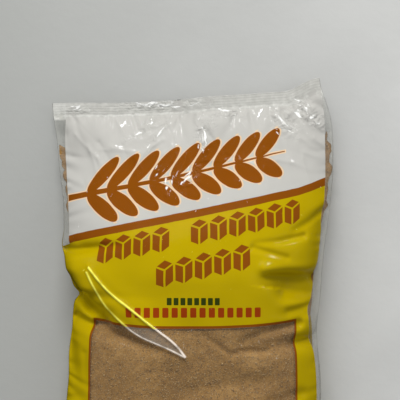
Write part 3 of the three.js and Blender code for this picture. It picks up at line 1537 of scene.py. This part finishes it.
    def crinkle(self, spot: Spot, waves: Sock, lines: Sock, crumpled: Sock) -> Sock:
        """Works out the finest creases, which are strongest where the film is crumpled.

        Args:
            spot: The place that is shaded.
            waves: Waviness of the crumpled patches.
            lines: Strength of the blister's painted highlight lines, which also raise its ridges in the bump.
            crumpled: How crumpled the film is.

        Returns:
            The film's normal.
        """
        book, flat = spot.book, spot.flat
        scale = (self.crinkle_scale * 0.8, self.crinkle_scale, 0.0)
        scaled = book.add("ShaderNodeVectorMath", {0: flat, 1: scale}, operation="MULTIPLY")
        warp = book.noise(flat, 0.2, 2.0) * 1.5
        warped = book.add("ShaderNodeVectorMath", {0: scaled, 1: warp}, operation="ADD")
        facets = book.add("ShaderNodeTexVoronoi", {"Vector": warped, "Scale": 1.0}, "Distance",
                          feature="DISTANCE_TO_EDGE")
        height = (facets + waves * 0.5) * crumpled * self.crinkle_height
        height = height + book.noise(flat, 0.6, 3.0) * self.grain_height + lines * self.edge_height
        return book.bump(height, 1.0, 1.0)


@dataclass(frozen=True)
class SugarFinish(Finish):
    """Moist fine light brown sugar, with the scales of its grains, clumps and patches."""

    title: str = "packed_sugar"
    dark: Colour = srgb(116, 84, 44)
    middle: Colour = srgb(154, 115, 60)
    light: Colour = srgb(188, 148, 90)
    grain: float = 1600.0
    clump: float = 260.0
    patch: float = 45.0

    def surface(self, book: NodeBook) -> Sock:
        """Adds the nodes of the sugar.

        Args:
            book: The book that fills the tree.

        Returns:
            The shader.
        """
        where = book.place()
        grain = book.noise(where, self.grain, 2.0, 0.6)
        clump = book.noise(where, self.clump, 3.0, 0.6)
        tone = grain * 0.5 + clump * 0.3 + book.noise(where, self.patch, 2.0) * 0.3 - 0.05
        colour = book.ramp(tone, (0.3, self.dark), (0.5, self.middle), (0.72, self.light))
        return book.coat(colour, grain * 0.25 + 0.6, Normal=book.bump(grain + clump * 0.6, 0.6, 0.0003))


@dataclass(frozen=True)
class CrystalFinish(Finish):
    """Loose sugar crystals, glassy and a little lighter or darker than the mass."""

    title: str
    pale: Colour = srgb(196, 166, 120)
    deep: Colour = srgb(120, 88, 52)

    def surface(self, book: NodeBook) -> Sock:
        """Adds the nodes of the crystals.

        Args:
            book: Where the nodes are added.

        Returns:
            The shader.
        """
        where = book.place()
        colour = book.ramp(book.noise(where, 900.0, 1.0), (0.3, self.deep), (0.7, self.pale))
        return book.coat(colour, book.noise(where, 2500.0, 1.0) * 0.3 + 0.2)


@dataclass(frozen=True)
class FloorFinish(Finish):
    """Pale matt plaster, with painted shade that makes it greyer on the left of the pouch."""

    title: str = "pale_floor"
    pale: Colour = srgb(206, 206, 203)
    grey: Colour = srgb(198, 198, 195)
    painted_shade: Colour = srgb(170, 171, 167)
    fade_width: float = 0.26
    roughness: float = 0.85

    def surface(self, book: NodeBook) -> Sock:
        """Adds the nodes of the plaster.

        Args:
            book: The book that fills the tree.

        Returns:
            The shader.
        """
        where = book.place()
        colour = book.ramp(book.noise(where, 14.0, 4.0), (0.35, self.grey), (0.65, self.pale))
        # painted shade: the floor turns greyer towards the left, for light that falls off there
        left = (0.5 - book.split(where)[0] / self.fade_width).most(0.0).least(1.0)
        normal = book.bump(book.noise(where, 160.0, 3.0), 0.25, 0.0006)
        return book.coat(book.blend(left, colour, self.painted_shade), self.roughness, Normal=normal)


@dataclass
class FilmSkin:
    """The tube of film with its two crimped seals, which replaces the solid.

    Attributes:
        form: The pouch's form.
        columns: Faces across the front.
        body_rows: Rows between the seals.
        seal_rows: Rows in each seal.
        crowding: Above 1, draws the columns towards the rims.
        seam_half: Half of the width of the lap seam up the back.
        seam_step: How far the film beside that seam lies in from it.
    """

    form: PouchForm
    columns: int = 236
    body_rows: int = 280
    seal_rows: int = 18
    crowding: float = 1.1
    seam_half: float = 6.0
    seam_step: float = 0.35
    seam_soft: float = 0.8
    rim_share: float = 0.012
    least_room: float = 0.3
    creases: FilmCreases = FilmCreases()
    crimp: Crimp = Crimp()
    finish: FilmFinish = FilmFinish()

    def lay(self) -> Lay:
        """Lays the grid over the whole film.

        Returns:
            The grid, which is finer along the rims and in the seals.
        """
        form = self.form
        flat = np.linspace(-1, 1, self.columns + 1)
        across = np.sign(flat) * (1 - (1 - np.abs(flat)) ** self.crowding)
        foot = np.linspace(form.foot_y, form.foot_seal_y, self.seal_rows + 1)[:-1]
        body = np.linspace(form.foot_seal_y, form.head_seal_y, self.body_rows + 1)[:-1]
        head = np.linspace(form.head_seal_y, form.head_y, self.seal_rows + 1)
        return Lay(form, *np.meshgrid(across, np.concatenate([foot, body, head])))

    @staticmethod
    def flattened(x: Grid, y: Grid, z: Grid) -> tuple[Grid, Grid]:
        """Measures the film flat.

        Args:
            x: Grid of x.
            y: Grid of y.
            z: Grid of z.

        Returns:
            Arc length across from the middle line, and up that line from the foot.
        """
        steps = np.sqrt(np.diff(x, axis=1) ** 2 + np.diff(y, axis=1) ** 2 + np.diff(z, axis=1) ** 2)
        u = np.concatenate([np.zeros((len(x), 1)), np.cumsum(steps, axis=1)], axis=1)
        middle = x.shape[1] // 2
        line = np.stack([x[:, middle], y[:, middle], z[:, middle]])
        v = np.concatenate([[0.0], np.cumsum(np.linalg.norm(np.diff(line, axis=1), axis=0))])
        return u - u[:, middle : middle + 1], np.repeat(v[:, None], x.shape[1], axis=1)

    def build(self, shift: Vector) -> bpy.types.Object:
        """Makes the film and dresses it.

        Args:
            shift: What takes the form's coordinates to the imported solid's, in millimetres.

        Returns:
            The film.
        """
        lay = self.lay()
        x, y, reach = lay.x, lay.y, np.abs(lay.across)
        rims = smoothstep(0.0, self.rim_share, 1 - reach)
        ribs = self.crimp.at(self.form, lay.row)
        front = lay.front - rims * self.creases.relief(lay) + ribs
        front = np.maximum(front, lay.back + self.least_room)
        beside = smoothstep(self.seam_half, self.seam_half + self.seam_soft, np.abs(x))
        back = lay.back + self.seam_step * beside * rims + ribs
        front = np.where(np.isclose(reach, 1.0), (lay.front + back) / 2, front)
        places = tuple(
            np.stack([*self.flattened(x, y, z), np.full_like(x, face.value)], axis=-1)
            for z, face in ((lay.front, Face.FRONT), (lay.back, Face.BACK))
        )
        # the marks that place the painted highlight lines and streaks, and the crinkle, on the film
        edges, streaks = self.creases.edges(lay)
        edges_behind = edges * 0 + (FAR, FAR, 0.0)
        marks = {"film": places, "edges": (edges, edges_behind), "streaks": (streaks, streaks * 0)}
        film = Pillow("film", np.stack([x, y, front], -1), np.stack([x, y, back], -1), marks).build(shift)
        film.data.materials.append(self.finish.build())
        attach(film, BODY)
        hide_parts(NODE)
        LOG.info("film: %d faces", len(film.data.polygons))
        return film


@dataclass
class SugarFill:
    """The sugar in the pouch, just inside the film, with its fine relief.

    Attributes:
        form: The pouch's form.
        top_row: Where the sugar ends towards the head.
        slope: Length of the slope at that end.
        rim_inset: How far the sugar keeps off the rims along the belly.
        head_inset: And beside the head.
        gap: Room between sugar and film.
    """

    form: PouchForm
    foot_inset: float = 2.5
    top_row: float = 79.0
    slope: float = 16.0
    rim_inset: float = 5.2
    head_inset: float = 2.2
    inset_turn: Point = (28.0, 46.0)
    gap: float = 0.85
    columns: int = 216
    rows: int = 256
    creases: FilmCreases = FilmCreases()
    finish: SugarFinish = SugarFinish()

    def relief(self, x: Grid, y: Grid) -> Grid:
        """Returns the height of the clumps and crystals that show, in millimetres."""
        clumps = 0.2 * Noise(5.5, 21).at(x, y) + 0.14 * Noise(2.6, 22).at(x, y)
        return clumps + 0.1 * Noise(1.1, 23).at(x, y) - 0.1

    def lay(self) -> tuple[Grid, Lay]:
        """Lays the grid over the sugar, whose rims and upper end are uneven.

        Returns:
            The share of its own width that each place has, from -1 to 1, and the grid.
        """
        form = self.form
        rows = np.linspace(form.foot_seal_y + self.foot_inset, self.top_row, self.rows + 1)
        part, row = np.meshgrid(np.linspace(-1, 1, self.columns + 1), rows)
        uneven = 4.0 * Noise(9, 31).at(part * 70, row * 0) - 2.5 * part
        row = row + uneven * smoothstep(20, self.top_row, row)
        inset = self.head_inset + 1.5 * Noise(9, 32).at(row, part * 60)
        inset = inset + 1.3 * Noise(2.6, 33).at(row, part * 60)
        inset = inset + (self.rim_inset - inset) * (1 - smoothstep(*self.inset_turn, row))
        return part, Lay(form, part * (1 - inset / (form.film_width / 2)), row)

    def build(self, shift: Vector) -> bpy.types.Object:
        """Makes the sugar and dresses it.

        Args:
            shift: What takes the form's coordinates to the imported solid's, in millimetres.

        Returns:
            The sugar.
        """
        part, lay = self.lay()
        x, y, row = lay.x, lay.y, lay.row
        film = lay.front - self.creases.relief(lay, fine=False)
        under = lay.back + self.gap
        sides = smoothstep(0, 0.09, 1 - np.abs(part)) ** 0.5
        ends = smoothstep(0, self.slope, self.top_row + 2 - row) ** 0.5
        ends = ends * smoothstep(0, 5, row - row[0, 0]) ** 0.5
        top = film - self.gap + self.relief(x, y) * sides * ends
        rim = np.maximum(np.minimum(lay.rim, top), under)
        body = rim + (np.maximum(top, rim) - rim) * sides
        front = under + (np.maximum(body, under) - under) * ends
        edge = np.pad(np.zeros(np.subtract(part.shape, 2), dtype=bool), 1, constant_values=True)
        front = np.where(edge, np.where(sides > 0, under, rim), front)
        back = np.minimum(under, front)
        show = np.stack([self.shown(lay.across, row), np.zeros_like(x), np.zeros_like(x)], -1)
        marks = {"show": (show, show * 0)}
        sugar = Pillow("sugar", np.stack([x, y, front], -1), np.stack([x, y, back], -1), marks).build(shift)
        sugar.data.materials.append(self.finish.build())
        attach(sugar, BODY)
        LOG.info("sugar: %d faces", len(sugar.data.polygons))
        return sugar

    def shown(self, across: Grid, row: Grid) -> Grid:
        """Finds where the sugar shows, in the window and the clear side strips.

        Args:
            across: Places across the pouch.
            row: Rows up it.

        Returns:
            1 where it shows, and 0 under the print.
        """
        window = smoothstep(-0.86, -0.8, across) * (1 - smoothstep(0.8, 0.86, across))
        window = window * smoothstep(-92, -86, row) * (1 - smoothstep(-18, -12, row))
        strips = smoothstep(0.84, 0.88, np.abs(across)) * smoothstep(20, 26, row)
        return np.maximum(window, strips)


@dataclass
class Crystals:
    """Loose crystals of one kind on the sugar, where it shows, scattered by Geometry Nodes.

    Attributes:
        name: The piece's name.
        density: Crystals for each square metre.
        smallest: Size of the smallest, in millimetres.
        largest: Size of the largest.
        sides: Corners of the drum that a crystal is cut from.
        seed: Seed of the scatter.
    """

    name: str
    density: float
    smallest: float
    largest: float
    sides: int
    seed: int

    def tree(self, material: bpy.types.Material) -> bpy.types.NodeTree:
        """Builds the scatter's node tree, with its sizes as named inputs.

        Args:
            material: What the crystals are made of.

        Returns:
            The tree.
        """
        tree = bpy.data.node_groups.new(self.name, "GeometryNodeTree")
        face = tree.interface
        face.new_socket("Geometry", in_out="INPUT", socket_type="NodeSocketGeometry")
        for title in SCATTER_INPUTS:
            kind = "NodeSocketInt" if title == "Seed" else "NodeSocketFloat"
            face.new_socket(title, in_out="INPUT", socket_type=kind)
        face.new_socket("Geometry", in_out="OUTPUT", socket_type="NodeSocketGeometry")
        book = NodeBook(tree)
        given = book.add("NodeGroupInput", output="Geometry")
        density, smallest, largest, seed = (book.sibling(given, title) for title in SCATTER_INPUTS)
        show = book.add("GeometryNodeInputNamedAttribute", {"Name": "show"}, data_type="FLOAT_VECTOR")
        points = book.add(
            "GeometryNodeDistributePointsOnFaces",
            {"Mesh": given, "Density": density * book.split(show)[0], "Seed": seed},
            distribute_method="RANDOM",
        )
        drum = book.add(
            "GeometryNodeMeshCone",
            {"Vertices": self.sides, "Radius Top": 0.4, "Radius Bottom": 0.5, "Depth": 0.9},
            fill_type="NGON",
        )
        turn = self.spread(book, (0.0,) * 3, (math.tau,) * 3, seed)
        stretch = self.spread(book, (0.75,) * 3, (1.25,) * 3, 7)
        size = book.add("FunctionNodeRandomValue", {2: smallest, 3: largest, "Seed": 3}, 1, data_type="FLOAT")
        scale = book.add("ShaderNodeVectorMath", {0: stretch, "Scale": size}, operation="SCALE")
        scattered = book.add("GeometryNodeInstanceOnPoints",
                             {"Points": points, "Instance": drum, "Rotation": turn, "Scale": scale})
        real = book.add("GeometryNodeRealizeInstances", {0: scattered})
        dressed = book.add("GeometryNodeSetMaterial", {"Geometry": real, "Material": material})
        book.add("NodeGroupOutput", {"Geometry": dressed})
        return tree

    @staticmethod
    def spread(book: NodeBook, low: Colour, high: Colour, seed: Sock | int) -> Sock:
        """Returns a random vector for each crystal, between low and high."""
        inputs = {0: low, 1: high, "Seed": seed}
        return book.add("FunctionNodeRandomValue", inputs, data_type="FLOAT_VECTOR")

    def build(self, sugar: bpy.types.Object) -> bpy.types.Object:
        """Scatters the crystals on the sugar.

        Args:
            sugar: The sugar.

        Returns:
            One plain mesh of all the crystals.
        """
        material = CrystalFinish(self.name).build()
        tree = self.tree(material)
        carrier = placed(self.name + "_carrier", sugar.data)
        scatter = carrier.modifiers.new("scatter", "NODES")
        scatter.node_group = tree
        values = dict(zip(SCATTER_INPUTS, (self.density, self.smallest * MM, self.largest * MM, self.seed)))
        for item in tree.interface.items_tree:
            if item.in_out == "INPUT" and item.name in values:
                scatter[item.identifier] = values[item.name]
        seen = carrier.evaluated_get(bpy.context.evaluated_depsgraph_get())
        mesh = bpy.data.meshes.new_from_object(seen)
        bpy.data.objects.remove(carrier)
        mesh.name = self.name
        made = placed(self.name, mesh)
        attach(made, BODY)
        LOG.info("%s: %d faces", self.name, len(mesh.polygons))
        return made


@dataclass
class Studio:
    """Camera, pale floor and soft lamps.

    Attributes:
        target: The point that the middle of the picture looks at, in millimetres.
        height: How high the camera is over the floor.
        picture: Width of floor that the picture takes in.
    """

    target: Point
    height: float = 620.0
    picture: float = 238.4
    sensor: float = 36.0
    floor_half: float = 1500.0
    glints_from: tuple[float, float, float] = (0.0, 85.0, 20.0)
    pane_far: float = 1000.0
    lamps_face: tuple[float, float, float] = (0.0, 0.0, 30.0)
    world_colour: tuple[float, float, float, float] = (0.96, 0.98, 1.0, 1.0)
    world_strength: float = 0.34
    pane_size: Point = (60.0, 60.0)

    def camera(self) -> None:
        """Hangs the camera straight over the pouch."""
        data = bpy.data.cameras.new("camera")
        data.sensor_width = self.sensor
        data.lens = self.sensor * self.height / self.picture
        data.clip_start, data.clip_end = 0.01, 20.0
        made = placed("camera", data)
        made.location = (self.target[0] * MM, self.target[1] * MM, self.height * MM)
        bpy.context.scene.camera = made

    def floor(self) -> None:
        """Lays the floor."""
        half = self.floor_half * MM
        mesh = bpy.data.meshes.new("floor")
        corners = [(-half, -half, 0), (half, -half, 0), (half, half, 0), (-half, half, 0)]
        mesh.from_pydata(corners, [], [(0, 1, 2, 3)])
        mesh.materials.append(FloorFinish().build())
        made = placed("floor", mesh)
        made.visible_glossy = False

    def lamp(
        self, name: str, at: tuple[float, float, float], size: tuple[float, float], watts: float, glints: bool
    ) -> None:
        """Hangs a soft lamp that faces the pouch.

        Args:
            name: Its name.
            at: Its place in millimetres.
            size: Width and height in millimetres.
            watts: Its power.
            glints: Whether glossy surfaces mirror it.
        """
        data = bpy.data.lights.new(name, "AREA")
        data.shape = "RECTANGLE"
        data.size, data.size_y = size[0] * MM, size[1] * MM
        data.energy = watts
        made = placed(name, data)
        made.location = Vector(at) * MM
        way = Vector(self.lamps_face) * MM - made.location
        made.rotation_euler = way.to_track_quat("-Z", "Y").to_euler()
        made.visible_camera = False
        made.visible_glossy = glints

    def pane(self, name: str, azimuth: float, tilt: float, watts: float) -> None:
        """Hangs a small bright lamp, which crumpled film mirrors as glints, a metre from the slack head.

        Args:
            name: Its name.
            azimuth: Its direction in degrees, from the right of the pouch round to its head.
            tilt: Its angle from straight above, in degrees.
            watts: Its power.
        """
        turn, lean = math.radians(azimuth), math.radians(tilt)
        way = (math.sin(lean) * math.cos(turn), math.sin(lean) * math.sin(turn), math.cos(lean))
        at = tuple(start + self.pane_far * part for start, part in zip(self.glints_from, way))
        self.lamp(name, at, self.pane_size, watts, True)

    def build(self) -> None:
        """Sets it all up."""
        self.camera()
        self.floor()
        self.lamp("sky", (-100, 1600, 1500), (1300, 700), 34.5, False)
        self.lamp("left_side", (-800, 1300, 900), (700, 700), 7.0, False)
        self.lamp("right_side", (1300, 150, 1000), (700, 1100), 2.5, False)
        self.pane("far_pane", 95, 74, 0.6)
        self.pane("near_pane", 80, 66, 0.1)
        self.pane("right_pane", 50, 76, 0.4)
        world = bpy.data.worlds.new("world")
        world.use_nodes = True
        sky = world.node_tree.nodes["Background"].inputs
        sky["Color"].default_value = self.world_colour
        sky["Strength"].default_value = self.world_strength
        world.cycles_visibility.glossy = False
        bpy.context.scene.world = world
        bpy.context.scene.view_settings.view_transform = "Standard"


def main() -> None:
    """Builds the pouch and its surroundings."""
    logging.basicConfig(level=logging.INFO, format="%(name)s: %(message)s")
    form = PouchForm()
    shift = Lay.even(form).shift_into(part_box(NODE))
    Studio((PHOTO_MIDDLE[0] + shift.x, PHOTO_MIDDLE[1] + shift.y)).build()
    FilmSkin(form).build(shift)
    sugar = SugarFill(form).build(shift)
    Crystals("fine_crystals", 1.05e6, 0.32, 0.55, 4, 5).build(sugar)
    Crystals("coarse_crystals", 1.1e5, 0.55, 0.85, 5, 9).build(sugar)


if __name__ == "__main__":
    main()
